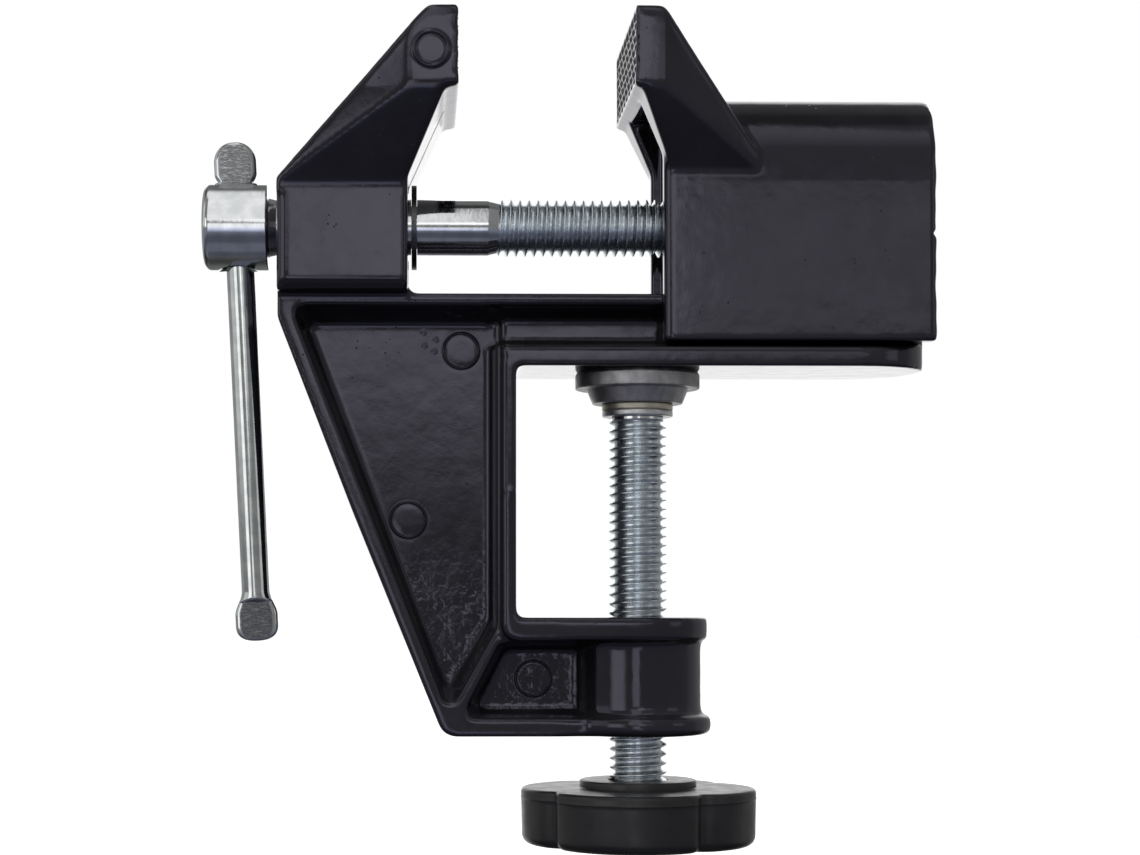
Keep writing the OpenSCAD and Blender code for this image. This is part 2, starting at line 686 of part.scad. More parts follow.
// Heights of the stack under the guide, down the clamp screw
pad_low = -pad_t - cone_h;
ring_top = pad_low - face_gap;
washer_top = ring_top - washer_t;
shoulder_z = washer_top - washer_t;
knob_top = arm_low - knob_drop;
grip_top = knob_top - collar_h;
grip_low = grip_top - knob_h;
hex_top = grip_top - 1.6;
rivet_top = -0.35;
neck_hole_r = rivet_neck_r + turn_gap;

module swivel_pad() {
    sink = -rivet_top + rivet_t + turn_gap;
    edge = 0.15;
    top_edge = [0.3, 0.45];
    color([0.42, 0.42, 0.42]) rotate_extrude() polygon([
        [neck_hole_r, pad_low], [cone_low_r, pad_low], [cone_top_r, -pad_t],
        [pad_r - edge, -pad_t], [pad_r, -pad_t + edge],
        [pad_r, -top_edge[1]], [pad_r - top_edge[0], 0],
        [rivet_r + turn_gap, 0], [rivet_r + turn_gap, -sink], [neck_hole_r, -sink]]);
}

// Washer on the clamp screw's neck with its top at z
module washer(z) {
    edge = 0.12;
    rotate_extrude() polygon([
        [neck_hole_r, z - washer_t], [washer_r - edge, z - washer_t],
        [washer_r, z - washer_t + edge], [washer_r, z - edge], [washer_r - edge, z],
        [neck_hole_r, z]]);
}

module thrust_ring() {
    color([0.6, 0.57, 0.48]) washer(ring_top);
}

module thrust_washer() {
    color([0.8, 0.8, 0.8]) washer(washer_top);
}

module clamp_screw() {
    thread_low = hex_top - pitch;
    shoulder_l = 0.8 * pitch;
    shoulder_r = (root_r + screw_r) / 2;
    color([0.75, 0.78, 0.82]) {
        translate([0, 0, thread_low]) threaded_rod(shoulder_z - thread_low - face_gap);
        translate([0, 0, shoulder_z - shoulder_l]) cylinder(r = shoulder_r, h = shoulder_l);
        translate([0, 0, shoulder_z - over]) cylinder(r = rivet_neck_r, h = rivet_top - shoulder_z + over);
        translate([0, 0, rivet_top - rivet_t]) cylinder(r = rivet_r, h = rivet_t);
        translate([0, 0, hex_top - hex_h])
            cylinder(r = hex_w / 2 / cos(30), h = hex_h, $fn = 6);
    }
}

module clamp_knob() {
    lobe_turn = -13;
    lobe_count = 4;
    top_r = 0.6;
    low_r = 1.5;
    foot_h = 0.45;
    color([0.13, 0.13, 0.14]) difference() {
        union() {
            for (i = [0 : lobe_count - 1]) rotate(lobe_turn + i * 360 / lobe_count)
                translate([knob_r - lobe_r, 0, 0]) rotate_extrude() polygon(rounded([
                    [0, grip_low, 0], [lobe_r, grip_low, low_r],
                    [lobe_r, grip_top, top_r], [0, grip_top, 0]]));
            translate([0, 0, grip_top - over]) cylinder(r = collar_r, h = collar_h + over);
            translate([0, 0, grip_low - foot_h]) cylinder(r = collar_r, h = foot_h + over);
        }
        translate([0, 0, hex_top]) cylinder(r = hole_r, h = knob_h);
        translate([0, 0, hex_top - hex_h])
            cylinder(r = hex_w / 2 / cos(30), h = hex_h, $fn = 6);
    }
}

frame();
moving_jaw();
main_screw();
retaining_clip();
tommy_bar();
clamp_screw();
swivel_pad();
thrust_ring();
thrust_washer();
clamp_knob();
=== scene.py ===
import math

import bmesh
import bpy
import numpy as np
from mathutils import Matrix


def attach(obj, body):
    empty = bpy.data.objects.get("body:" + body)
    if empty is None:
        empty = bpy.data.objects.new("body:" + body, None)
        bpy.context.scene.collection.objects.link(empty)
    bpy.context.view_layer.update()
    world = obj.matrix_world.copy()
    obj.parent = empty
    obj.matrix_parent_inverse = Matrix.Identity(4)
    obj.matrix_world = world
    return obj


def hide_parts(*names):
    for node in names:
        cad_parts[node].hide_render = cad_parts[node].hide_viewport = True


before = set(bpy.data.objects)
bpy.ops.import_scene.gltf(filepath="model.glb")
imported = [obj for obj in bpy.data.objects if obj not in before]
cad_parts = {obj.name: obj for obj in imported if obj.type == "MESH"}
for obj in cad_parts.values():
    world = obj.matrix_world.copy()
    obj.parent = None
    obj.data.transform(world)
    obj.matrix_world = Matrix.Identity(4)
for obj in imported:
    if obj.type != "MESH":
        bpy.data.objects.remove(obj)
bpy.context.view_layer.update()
MM = 0.001

# Places and sizes on the vise in millimetres, as the solids have them. X runs from the main
# screw's head to the box and Z up. The origin is where the pad's middle meets the guide
SCREW_Z = 20.05
SCREW_R = 4.0
ROOT_R = 3.233
PITCH = 1.25
HEAD_R = 6.1
HEAD_LEFT, HEAD_RIGHT = -59.95, -51.05
SHANK_R, GROOVE_R = 3.9, 3.0
GROOVE_LEFT, GROOVE_RIGHT = -31.36, -30.56
MAIN_TIP = 14.05
BAR_X = -55.3
BAR_LEAN = 2.816
BAR_R = 1.95
FIXED_FACE, MOVING_FACE = -25.0, -1.6
JAW_TOP, TEETH_LOW, BLADE_LOW = 47.7, 36.85, 36.5
WEB_FLAT, JAW_FLAT = 2.0, 14.85
PAD_LOW, RING_LOW, WASHER_LOW = -4.4, -5.33, -6.21
WASHER_R = 4.9
NECK_HOLE_R = 2.6
CLAMP_TOP, CLAMP_LOW = -6.3, -60.2
COLLAR_TOP, GRIP_TOP, GRIP_LOW, FOOT_LOW = -56.3, -57.4, -65.2, -65.65

# A closed profile starts and ends this far from the axis
AXIS_R = 0.01


# mesh helpers


def add_object(name, data):
    obj = bpy.data.objects.new(name, data)
    bpy.context.scene.collection.objects.link(obj)
    return obj


def new_object(name, verts, faces):
    """A mesh object from millimetres, with shared corners merged."""
    mesh = bpy.data.meshes.new(name)
    mesh.from_pydata([(x * MM, y * MM, z * MM) for x, y, z in verts], [], faces)
    bm = bmesh.new()
    bm.from_mesh(mesh)
    bmesh.ops.remove_doubles(bm, verts=bm.verts, dist=1e-7)
    bmesh.ops.dissolve_degenerate(bm, edges=bm.edges, dist=1e-8)
    bmesh.ops.recalc_face_normals(bm, faces=bm.faces)
    bm.to_mesh(mesh)
    bm.free()
    return add_object(name, mesh)


def smooth(obj):
    obj.data.polygons.foreach_set("use_smooth", [True] * len(obj.data.polygons))


def smooth_by_angle(obj, degrees):
    smooth(obj)
    obj.data.set_sharp_from_angle(angle=math.radians(degrees))


def circle(steps):
    return [2 * math.pi * j / steps for j in range(steps)]


def grid_faces(rows, cols, wrap_rows=False, wrap_cols=True):
    """Faces between the points of a grid that is written row by row."""
    faces = []
    for i in range(rows if wrap_rows else rows - 1):
        a, b = i * cols, (i + 1) % rows * cols
        for j in range(cols if wrap_cols else cols - 1):
            k = (j + 1) % cols
            faces.append((a + j, a + k, b + k, b + j))
    return faces


def end_faces(rows, cols):
    """The two faces that close the ends of a tube."""
    return [tuple(range(cols)), tuple(range((rows - 1) * cols, rows * cols))]


def arc(cx, cy, r, start, end, steps=6):
    """Points on an arc, for rounding a lathe profile. Angles in degrees."""
    out = []
    for i in range(steps + 1):
        a = math.radians(start + (end - start) * i / steps)
        out.append((cx + r * math.cos(a), cy + r * math.sin(a)))
    return out


def supported(profile, support=0.05, long_line=0.5):
    """A profile with points close to both ends of its long lines, so that they shade flat."""
    out = [profile[0]]
    for (r0, h0), (r1, h1) in zip(profile, profile[1:]):
        length = math.hypot(r1 - r0, h1 - h0)
        if length > long_line:
            for u in (support / length, 1 - support / length):
                out.append((r0 + (r1 - r0) * u, h0 + (h1 - h0) * u))
        out.append((r1, h1))
    return out


def lathe(profile, place, segments=128, ring=False):
    """Turns a profile of (radius, height). place maps (x, y, height) to the shared frame."""
    profile = supported(profile)
    verts = [place(r * math.cos(a), r * math.sin(a), h) for r, h in profile for a in circle(segments)]
    faces = grid_faces(len(profile), segments, wrap_rows=ring)
    if not ring:
        faces += end_faces(len(profile), segments)
    return verts, faces


def upright(x, y, h):
    return (x, y, h)


def along_screw(x, y, h):
    """Heights run along the main screw."""
    return (h, -x, SCREW_Z + y)


def join(parts):
    verts, faces = [], []
    for v, f in parts:
        base = len(verts)
        verts += v
        faces += [tuple(base + i for i in face) for face in f]
    return verts, faces


def smoothstep(u):
    """From 0 to 1 with level ends. u is a number or an array."""
    u = np.clip(u, 0, 1)
    return u * u * (3 - 2 * u)


def thread_radius(phase, crest=0.1, flank=0.74, rounding=0.45):
    """Radius of an ISO thread with rounded crests and roots, phase 0 at the crest."""
    u = abs((phase + 0.5) % 1 - 0.5) * 2
    u = min(max((u - crest) / flank, 0), 1)
    u = (1 - rounding) * u + rounding * float(smoothstep(u))
    return SCREW_R + (ROOT_R - SCREW_R) * u


def chamfers(*cones):
    """A thread's largest radius at each height. Each cone is (height, radius there, slope)."""

    def largest(h):
        return max(ROOT_R, min(SCREW_R, *(r + (h - at) * slope for at, r, slope in cones)))

    return largest


def new_thread(name, low, high, place, largest, segments=72, rows_per_turn=14):
    """A right-hand thread from low to high, with closed ends."""
    rows = int((high - low) / PITCH * rows_per_turn) + 2 * rows_per_turn
    verts = []
    for i in range(rows):
        turns = i / rows_per_turn
        full = thread_radius(turns)
        for j in range(segments + 1):
            turn = j / segments
            h = min(max(low + (turns - 1 + turn) * PITCH, low), high)
            r = min(full, largest(h))
            a = 2 * math.pi * turn
            verts.append(place(r * math.cos(a), r * math.sin(a), h))
    obj = new_object(name, verts, grid_faces(rows, segments + 1, wrap_cols=False))
    bm = bmesh.new()
    bm.from_mesh(obj.data)
    rim = [e for e in bm.edges if e.is_boundary]
    if rim:
        bmesh.ops.holes_fill(bm, edges=rim, sides=0)
    bmesh.ops.recalc_face_normals(bm, faces=bm.faces)
    bm.to_mesh(obj.data)
    bm.free()
    return obj


def applied(obj):
    """Applies an object's modifiers to its mesh."""
    graph = bpy.context.evaluated_depsgraph_get()
    graph.update()
    mesh = bpy.data.meshes.new_from_object(obj.evaluated_get(graph))
    old = obj.data
    obj.modifiers.clear()
    obj.data = mesh
    bpy.data.meshes.remove(old)
    return obj


def cut(obj, cutter):
    mod = obj.modifiers.new("cut", "BOOLEAN")
    mod.operation = "DIFFERENCE"
    mod.solver = "EXACT"
    mod.object = cutter
    applied(obj)
    bpy.data.objects.remove(cutter)


# castings

VOXEL = 0.25
PASSES = 20
SMOOTHING = 0.6


def casting(node, name, rounding):
    """A CAD solid as a casting: one skin whose edges and corners are softly filleted.
    rounding gives from 0 to 1 how much of the smoothing each point gets."""
    obj = add_object(name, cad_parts[node].data.copy())
    bm = bmesh.new()
    bm.from_mesh(obj.data)
    bmesh.ops.remove_doubles(bm, verts=bm.verts, dist=1e-6)
    bm.to_mesh(obj.data)
    bm.free()
    mod = obj.modifiers.new("skin", "REMESH")
    mod.mode = "VOXEL"
    mod.voxel_size = VOXEL * MM
    mod.adaptivity = 0
    applied(obj)
    mesh = obj.data
    count = len(mesh.vertices)
    co = np.empty(count * 3, np.float32)
    mesh.vertices.foreach_get("co", co)
    co = co.reshape(-1, 3).astype(float)
    edges = np.empty(len(mesh.edges) * 2, np.int32)
    mesh.edges.foreach_get("vertices", edges)
    a, b = edges[0::2], edges[1::2]
    degree = np.bincount(np.concatenate([a, b]), minlength=count)
    share = (SMOOTHING * rounding(co / MM))[:, None]
    for _ in range(PASSES):
        mean = np.empty_like(co)
        for k in range(3):
            total = np.bincount(a, co[b, k], count) + np.bincount(b, co[a, k], count)
            mean[:, k] = total / degree
        co += (mean - co) * share
    return obj, co


def write_back(obj, co):
    obj.data.vertices.foreach_set("co", co.astype(np.float32).ravel())
    obj.data.update()
    smooth(obj)


def climb(value, start, end):
    """0 at start and 1 at end, straight between and level outside."""
    return np.clip((value - start) / (end - start), 0, 1)


def near(value, centre, width):
    """1 within width of centre, falling smoothly to 0 at twice the width."""
    return 1 - smoothstep((np.abs(value - centre) - width) / width)


def ridge(value, centre, width):
    return np.exp(-(((value - centre) / width) ** 2))


def teeth(p, face):
    """1 on the toothed face, apart from its edges."""
    return near(p[:, 0], face, 0.7) * (p[:, 2] > BLADE_LOW) * climb(np.abs(p[:, 1]), 14.6, 14.2)


def jaw_sides(p):
    """1 at the jaws' flats and the edges round them."""
    return climb(np.abs(p[:, 1]), 12.0, 13.5) * climb(p[:, 2], BLADE_LOW - 2, BLADE_LOW)


def frame_rounding(p):
    """The arm and the foot are rounder than the rest."""
    arm = climb(p[:, 2], -33.0, -35.0) * climb(p[:, 0], -12.0, -9.0)
    return (0.5 + 0.5 * np.maximum(arm, jaw_sides(p))) * (1 - 0.75 * teeth(p, FIXED_FACE))


def jaw_rounding(p):
    return (0.5 + 0.5 * jaw_sides(p)) * (1 - 0.75 * teeth(p, MOVING_FACE))


def finish_teeth(co, face, wear):
    """Worn teeth, with the ends of their pattern filled, so that the sides keep a plain edge."""
    x, y, z = (co / MM).T
    above = climb(z, BLADE_LOW + 0.1, BLADE_LOW + 0.6)
    co[:, 0] += near(x, face, 0.9) * above * wear * (face * MM - co[:, 0])
    side = climb(np.abs(y), 14.0, 14.7) * near(x, face, 0.8) * above
    co[:, 0] += side * 0.75 * (face * MM - co[:, 0])


def draft_flats(co):
    """The jaws' flats lean in towards their lower edge by their draft."""
    z = co[:, 2] / MM
    draft = 0.026 * climb(z, JAW_TOP, TEETH_LOW)
    co[:, 1] *= 1 - draft * climb(z, 25.0, TEETH_LOW)


def parting_line(co):
    """A low ridge where the two die halves met, round the jaw and the spine."""
    x, y, z = (co / MM).T
    height, width = 0.13, 0.17
    under_teeth = z < BLADE_LOW - 0.1
    clear_of_screw = np.abs(z - SCREW_Z) > 4.6
    outside = (x < FIXED_FACE - 0.2) & (under_teeth | (x < -29)) & clear_of_screw
    # The block's face and the slope above it look right, and all the rest looks left
    looks_right = (x > -36) & (z > 9) & under_teeth
    co[:, 0] += np.where(looks_right, 1, -1) * outside * height * MM * ridge(y, 0.0, width)


def even_flange(co):
    """The throat's flange narrows evenly from top to bottom, where the solid has one step."""
    x, y, z = (co / MM).T
    step_z, step, throat = -16.92, 0.4, -33.85
    upper = 0.5 + 0.5 * np.tanh((z - step_z) / 0.4)
    narrow = step * (climb(z, throat, 0.0) - upper)
    flange = (x > -19.6) & (x < -16.9) & (z > -33.0) & (z < 0.3)
    narrow *= flange * climb(np.abs(y), 8.4, 9.0)
    co[:, 1] += np.sign(y) * narrow * MM


def sheared_end(co):
    """The box was sheared off at its open end, so that edge is uneven, with one notch."""
    x, y, z = (co / MM).T
    ragged = 0.05 * np.sin(0.62 * z + 1.0) + 0.035 * np.sin(1.47 * z + 0.2 * y) + 0.1
    ragged += 0.35 * ridge(z, 18.0, 0.4)
    co[:, 0] -= climb(x, 38.9, 39.6) * ragged * MM


# Round marks in the flats of both sides: radius, half width and depth of the groove, and the
# rise of the disc inside it
WEB_EJECTOR = (2.4, 0.15, 0.22, 0.03)
JAW_EJECTOR = (2.25, 0.26, 0.26, 0.05)
BUBBLE = (0.28, 0.1, 0.04, 0.035)
MARKS = [(x, z, WEB_FLAT, *WEB_EJECTOR) for x, z in ((-24.5, 2.8), (-31.8, -20.5), (-14.6, -42.3))]
MARKS += [(-28.7, 41.5, JAW_FLAT, *JAW_EJECTOR)]
MARKS += [
    (x, z, WEB_FLAT, *BUBBLE)
    for x, z in ((-29.65, 5.3), (-27.95, 4.33), (-29.5, 3.5), (-28.15, 2.75))
]
MARK_CUTS = 3


def mark_field(p):
    """How far out each point moves for the marks, and which points lie close to a groove."""
    move = np.zeros(len(p))
    close = np.zeros(len(p), bool)
    for x, z, flat, r, half, depth, rise in MARKS:
        d = np.hypot(p[:, 0] - x, p[:, 2] - z)
        on = np.abs(np.abs(p[:, 1]) - flat) < 0.4
        disc = rise * smoothstep((r + half - d) / (2 * half))
        move += on * (disc - depth * ridge(d, r, half))
        close |= on & (np.abs(d - r) < 3.5 * half + 0.1)
    return move, close


def press_marks(obj):
    """Divides the mesh finely at the marks and presses them in."""
    bm = bmesh.new()
    bm.from_mesh(obj.data)
    close = mark_field(np.array([v.co[:] for v in bm.verts]) / MM)[1]
    edges = [e for e in bm.edges if close[e.verts[0].index] and close[e.verts[1].index]]
    bmesh.ops.subdivide_edges(bm, edges=edges, cuts=MARK_CUTS, use_grid_fill=True)
    move = mark_field(np.array([v.co[:] for v in bm.verts]) / MM)[0]
    for v, out in zip(bm.verts, move):
        if out:
            v.co.y += math.copysign(out * MM, v.co.y)
    bm.to_mesh(obj.data)
    bm.free()
    smooth(obj)


cast_frame, co = casting("frame", "cast_frame", frame_rounding)
parting_line(co)
finish_teeth(co, FIXED_FACE, 0.1)
even_flange(co)
draft_flats(co)
write_back(cast_frame, co)
press_marks(cast_frame)

cast_jaw, co = casting("moving_jaw", "cast_jaw", jaw_rounding)
sheared_end(co)
finish_teeth(co, MOVING_FACE, 0.35)
draft_flats(co)
write_back(cast_jaw, co)

# turned parts

head_edge, back_edge = 0.95, 0.22
screw_profile = (
    [(AXIS_R, HEAD_LEFT + 0.12), (2.2, HEAD_LEFT + 0.05)]
    + arc(HEAD_R - head_edge, HEAD_LEFT + head_edge, head_edge, -90, 0, 8)
    + arc(HEAD_R - back_edge, HEAD_RIGHT - back_edge, back_edge, 0, 90, 4)
    + [(4.45, HEAD_RIGHT), (4.2, -50.95), (4.15, -50.75), (SHANK_R, -49.85)]
    + [(SHANK_R, GROOVE_LEFT - 0.01), (GROOVE_R, GROOVE_LEFT)]
    + [(GROOVE_R, GROOVE_RIGHT), (SHANK_R, GROOVE_RIGHT + 0.01)]
    + [(SHANK_R, -20.75), (3.84, -20.55), (3.45, -18.95), (3.2, -18.7), (AXIS_R, -18.7)]
)
screw_body = new_object("main_screw_body", *lathe(screw_profile, along_screw, 160))

hole_r, sink_r, hole_end, sink_end, beyond = 2.35, 3.6, 5.6, 6.85, 9
hole_side = [(hole_r, hole_end), (sink_r, sink_end), (sink_r, beyond), (AXIS_R, beyond)]
hole_profile = [(r, -h) for r, h in reversed(hole_side)] + hole_side


def along_bar_hole(x, y, h):
    return (BAR_X + x, y, SCREW_Z + h)


cut(screw_body, new_object("cross_hole", *lathe(hole_profile, along_bar_hole, 96)))

main_chamfers = chamfers((-19.9, 3.3, 1.1), (MAIN_TIP, 3.25, -0.9))
main_thread = new_thread("main_screw_thread", -20.3, MAIN_TIP, along_screw, main_chamfers)
tip_profile = [(AXIS_R, 13.0), (3.1, 13.0), (3.1, 14.1), (2.85, 14.3), (AXIS_R, 14.3)]
tip = new_object("main_screw_tip", *lathe(tip_profile, along_screw, 64))

clamp_chamfers = chamfers((-6.28, 3.3, -0.9), (CLAMP_LOW, 3.3, 0.9))
clamp_thread = new_thread("clamp_screw_thread", CLAMP_LOW, CLAMP_TOP, upright, clamp_chamfers)
neck_profile = [(AXIS_R, -7.0), (3.6, -7.0), (3.6, -6.26), (2.5, -6.22), (2.5, -0.9), (AXIS_R, -0.9)]
rivet_profile = [(AXIS_R, -1.15), (3.6, -1.15), (3.7, -1.05), (3.62, -0.6), (3.2, -0.42)]
rivet_profile += [(1.5, -0.36), (AXIS_R, -0.35)]
hexagon_profile = [(AXIS_R, -64.3), (7.3, -64.3), (7.3, -59.1), (AXIS_R, -59.1)]
neck_parts = [lathe(neck_profile, upright, 64), lathe(rivet_profile, upright, 64)]
neck_parts += [lathe(hexagon_profile, upright, 6)]
clamp_neck = new_object("clamp_screw_neck", *join(neck_parts))


def ring_edge(low, high, edge):
    """The profile of a ring round the neck with rounded outer edges."""
    return (
        [(NECK_HOLE_R, low), (WASHER_R - edge, low)]
        + arc(WASHER_R - edge, low + edge, edge, -90, 0, 4)[1:]
        + arc(WASHER_R - edge, high - edge, edge, 0, 90, 4)
        + [(NECK_HOLE_R, high)]
    )


pad_profile = (
    [(NECK_HOLE_R, PAD_LOW), (6.05, PAD_LOW)]
    + arc(6.08, -4.2, 0.2, -90, 0, 3)[1:]
    + [(7.0, -2.45), (7.1, -2.37), (7.2, -2.35), (8.42, -2.35)]
    + arc(8.42, -2.17, 0.18, -90, 0, 4)[1:]
    + [(8.6, -0.52), (8.53, -0.36), (8.38, -0.1), (8.28, 0.0)]
    + [(3.85, 0.0), (3.8, -0.05), (3.8, -1.25), (NECK_HOLE_R, -1.25)]
)
pad = new_object("pad", *lathe(pad_profile, upright, 160, ring=True))
upper_profile = ring_edge(RING_LOW, PAD_LOW - 0.05, 0.14)
lower_profile = ring_edge(WASHER_LOW, RING_LOW, 0.2)
ring = new_object("upper_ring", *lathe(upper_profile, upright, 128, ring=True))
washer = new_object("lower_washer", *lathe(lower_profile, upright, 128, ring=True))

# bar

# How far the bar reaches above and below the head's middle
BAR_UP, BAR_DOWN = 11.8, 57.3
BAR_FLAT_HALF_W, BAR_FLAT_HALF_T = 2.95, 1.2
# For each flattened end: where the flat ends, the length and the power of its rounded tip,
# and how long the bar takes to widen
UPPER_END = (6.1, 2.9, 2.1, 2.4)
LOWER_END = (5.8, 2.2, 2.5, 3.4)


def bar_section(s, shoulder, tip_l, tip_power, spread):
    """Half width, half thickness and squareness of the bar at s from its tip."""
    widen = smoothstep((shoulder + 0.4 * spread - 0.2 - s) / spread)
    flatten = smoothstep((shoulder + 0.1 - s) / 0.6)
    w = BAR_R + (BAR_FLAT_HALF_W - BAR_R) * widen
    t = BAR_R + (BAR_FLAT_HALF_T - BAR_R) * flatten
    if s < tip_l:
        w *= max(1 - ((tip_l - s) / tip_l) ** tip_power, 0) ** (1 / tip_power)
    edge = 0.6
    if s < edge:
        t *= 0.3 + 0.7 * math.sqrt(max(1 - ((edge - s) / edge) ** 2, 0))
    return w, t, 2 + 2.2 * flatten


def signed_power(value, power):
    return math.copysign(abs(value) ** power, value)


end_stations = [0.0, 0.02, 0.05, 0.1, 0.17, 0.26, 0.38, 0.5, 0.6]
end_stations += [0.6 + 0.14 * i for i in range(1, 49)]
round_section = (BAR_R, BAR_R, 2)
sections = [(s - BAR_DOWN, bar_section(s, *LOWER_END)) for s in end_stations]
sections += [(7.4 - BAR_DOWN + i * 1.48, round_section) for i in range(1, 37)]
sections += [(BAR_UP - s, bar_section(s, *UPPER_END)) for s in reversed(end_stations)]
lean = math.radians(BAR_LEAN)
verts, around = [], 72
for t, (half_w, half_t, square) in sections:
    for a in circle(around):
        x = half_w * signed_power(math.cos(a), 2 / square)
        y = half_t * signed_power(math.sin(a), 2 / square)
        bar_x = BAR_X + x * math.cos(lean) - t * math.sin(lean)
        verts.append((bar_x, y, SCREW_Z + x * math.sin(lean) + t * math.cos(lean)))
faces = grid_faces(len(sections), around) + end_faces(len(sections), around)
bar = new_object("sliding_bar", verts, faces)

# knob

LOBES = 4
LOBE_R, LOBE_OFFSET = 12.18, 4.06
LOBE_TURN = -13


def knob_outline(angle):
    """Radius of the lobed grip, with a soft crease between the lobes."""
    reach = []
    for i in range(LOBES):
        phi = angle - math.radians(LOBE_TURN + 360 / LOBES * i)
        across = LOBE_OFFSET * math.sin(phi)
        reach.append(LOBE_OFFSET * math.cos(phi) + math.sqrt(LOBE_R**2 - across**2))
    blend, fold_depth, fold_width = 0.18, 0.7, 4.5
    fold = (math.degrees(angle) - LOBE_TURN) % (360 / LOBES) - 180 / LOBES
    crease = blend * math.log(sum(math.exp(r / blend) for r in reach))
    return crease - fold_depth * math.exp(-((fold / fold_width) ** 2))


def quarter(edge, angles):
    """Steps round an edge from the top: how far in from the side, and how far down."""
    return [(edge * (1 - math.sin(a)), edge * (1 - math.cos(a))) for a in angles]


collar_edge, grip_edge, low_edge = 0.25, 0.6, 1.4
collar = [(4.15, -56.9), (4.15, -56.35), (4.3, COLLAR_TOP), (7.8, COLLAR_TOP)]
collar += [(8.05 - r, COLLAR_TOP - d) for r, d in quarter(collar_edge, (0.5, 1.0, math.pi / 2))]
collar += [(8.05, -57.3), (8.15, -57.38), (8.4, GRIP_TOP)]
# The grip's rows are given by how far they lie inside its outline
side = [(1.2, GRIP_TOP)]
side += [(r, GRIP_TOP - d) for r, d in quarter(grip_edge, np.linspace(0.0, math.pi / 2, 7))]
side += [(0.01, -58.55), (-0.02, -58.66), (-0.05, -58.72), (-0.02, -58.78), (0.02, -58.86)]
side += [(0.03 + 0.02 * i, -59.3 - 0.9 * i) for i in range(5)]
side += [(0.12 + r, GRIP_LOW + d) for r, d in quarter(low_edge, np.linspace(math.pi / 2, 0.0, 9))]
side += [(2.4, GRIP_LOW)]
foot = [(8.5, GRIP_LOW), (8.1, -65.25), (8.05, -65.5), (7.85, FOOT_LOW), (AXIS_R, FOOT_LOW)]
rows = [(False, *p) for p in collar] + [(True, *p) for p in side] + [(False, *p) for p in foot]
verts, around = [], 288
for lobed, r, z in rows:
    for a in circle(around):
        reach = knob_outline(a) - r if lobed else r
        verts.append((reach * math.cos(a), reach * math.sin(a), z))
faces = grid_faces(len(rows), around) + end_faces(len(rows), around)
grip = new_object("grip", verts, faces)

SHARP_ANGLE = 38
for obj in (screw_body, main_thread, tip, clamp_thread, clamp_neck, pad, ring, washer, bar, grip):
    smooth_by_angle(obj, SHARP_ANGLE)

# materials


class Nodes:
    """Builds shader nodes. A value is a number, a colour or another node's output."""

    def __init__(self, tree):
        self.tree = tree

    def put(self, socket, value):
        if hasattr(value, "is_output"):
            self.tree.links.new(value, socket)
        elif socket.type == "RGBA":
            socket.default_value = (*value, 1)
        else:
            socket.default_value = value

    def node(self, kind, inputs=(), **props):
        n = self.tree.nodes.new("ShaderNode" + kind)
        for key, value in props.items():
            setattr(n, key, value)
        for key, value in dict(inputs).items():
            self.put(n.inputs[key], value)
        return n

    def math(self, op, a, b=0.0, c=0.0):
        return self.node("Math", {0: a, 1: b, 2: c}, operation=op).outputs[0]

    def times(self, a, b):
        return self.math("MULTIPLY", a, b)

    def ramp(self, value, low, high, to_low=0.0, to_high=1.0):
        inputs = {0: value, 1: low, 2: high, 3: to_low, 4: to_high}
        return self.node("MapRange", inputs, interpolation_type="SMOOTHSTEP").outputs[0]

    def mix(self, factor, a, b):
        """Mixes two colours."""
        return self.node("Mix", {0: factor, 6: a, 7: b}, data_type="RGBA").outputs[2]

    def mix_level(self, factor, a, b):
        """Mixes two numbers."""
        return self.node("Mix", {0: factor, 2: a, 3: b}, data_type="FLOAT").outputs[0]


class Material(Nodes):
    """A material whose patterns are measured in millimetres in the shared frame."""

    def __init__(self, name):
        self.mat = bpy.data.materials.new(name)
        self.mat.use_nodes = True
        super().__init__(self.mat.node_tree)
        place = self.node("TexCoord").outputs["Object"]
        self.mm = self.node("Mapping", {"Vector": place, "Scale": (1 / MM,) * 3}).outputs["Vector"]

    def noise(self, scale, detail=2.0, rough=0.5, stretch=None):
        vector = self.mm
        if stretch:
            vector = self.node("Mapping", {"Vector": vector, "Scale": stretch}).outputs["Vector"]
        inputs = {"Vector": vector, "Scale": scale, "Detail": detail, "Roughness": rough}
        return self.node("TexNoise", inputs).outputs["Fac"]

    def patches(self, scale, detail=3.0):
        """Noise with more contrast."""
        return self.ramp(self.noise(scale, detail), 0.3, 0.7)

    def cells(self, scale):
        return self.node("TexVoronoi", {"Vector": self.mm, "Scale": scale}).outputs["Distance"]

    def axis(self, name):
        return self.node("SeparateXYZ", {"Vector": self.mm}).outputs[name]

    def bumps(self, *layers):
        """Stacked bumps. Each layer is a height pattern and its depth in millimetres."""
        normal = None
        for height, depth in layers:
            inputs = {"Height": height, "Distance": depth * MM, "Strength": 1.0}
            if normal is not None:
                inputs["Normal"] = normal
            normal = self.node("Bump", inputs).outputs["Normal"]
        return normal

    def finish(self, **values):
        shader = self.tree.nodes["Principled BSDF"]
        for name, value in values.items():
            self.put(shader.inputs[name.replace("_", " ")], value)
        return self.mat


